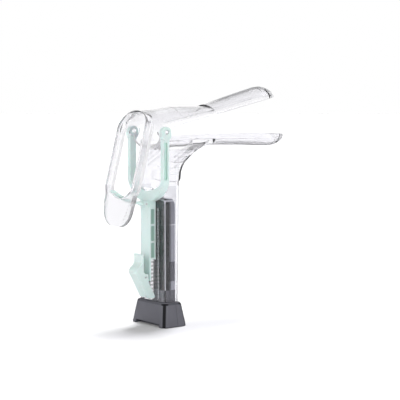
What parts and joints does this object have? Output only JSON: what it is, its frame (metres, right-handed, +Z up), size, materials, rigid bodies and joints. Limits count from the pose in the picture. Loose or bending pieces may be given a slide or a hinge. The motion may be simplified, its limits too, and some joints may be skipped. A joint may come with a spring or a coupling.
{
  "type": "bivalve speculum",
  "caption": "Clear bivalve speculum with a hollow upright handle, green sliding yoke, tilt strap and trigger, standing on a cordless lamp foot",
  "frame": {"origin": "centre of the underside of the lamp's foot, on the surface that it stands on", "axes": "+X forward along the blades, +Y to the object's left, +Z up"},
  "size_m": [0.18, 0.0526, 0.2006],
  "materials": {
    "clear_moulding": "gloss",
    "green_moulding": "satin",
    "housing": "satin",
    "housing_front": "satin",
    "lens": "gloss",
    "lamp": "matte",
    "board": "satin",
    "cell": "satin",
    "contact": "satin",
    "pin": "satin",
    "button": "matte"
  },
  "bodies": {
    "illuminator": {"housing_rear": "housing", "housing_front": "housing_front", "head_cap": "housing", "foot_plate": "housing", "led_lens": "lens", "led_emitter": "lamp", "led_board": "board", "battery_left": "cell", "battery_middle": "cell", "battery_right": "cell", "top_contact": "contact", "bottom_contact": "contact", "circuit_board": "board", "tact_switch": "button"},
    "button": {"power_button": "button"},
    "speculum": {"lower_blade": "clear_moulding"},
    "yoke": {"yoke_slide": "green_moulding", "tilt_ratchet_pin": "pin", "trigger_pin": "pin"},
    "blade": {"upper_blade": "clear_moulding"},
    "trigger": {"release_trigger": "green_moulding"},
    "strap": {"tilt_ratchet": "green_moulding"}
  },
  "joints": [
    {"name": "lamp_dock", "type": "slide", "parent": "illuminator", "child": "speculum", "axis": [0, 0, 1], "range_m": [0, 0.095]},
    {"name": "button_press", "type": "slide", "parent": "illuminator", "child": "button", "axis": [-1, 0, 0], "range_m": [0, 0.0008], "stiffness_N_per_m": 500, "springref_m": -0.0006},
    {"name": "yoke_lift", "type": "slide", "parent": "speculum", "child": "yoke", "axis": [0, 0, 1], "range_m": [0, 0.028]},
    {"name": "blade_tilt", "type": "hinge", "parent": "yoke", "child": "blade", "pos_m": [-0.0104, 0, 0.163], "axis": [0, -1, 0], "range_deg": [-14, 12]},
    {"name": "trigger_release", "type": "hinge", "parent": "yoke", "child": "trigger", "pos_m": [-0.0176, 0, 0.0416], "axis": [0, 1, 0], "range_deg": [0, 8], "stiffness_Nm_per_rad": 0.03, "springref_deg": -5.73},
    {"name": "strap_lift", "type": "hinge", "parent": "yoke", "child": "strap", "pos_m": [-0.01618, 0, 0.10298], "axis": [0, 1, 0], "range_deg": [0, 5], "stiffness_Nm_per_rad": 0.01, "springref_deg": -5.73}
  ]
}
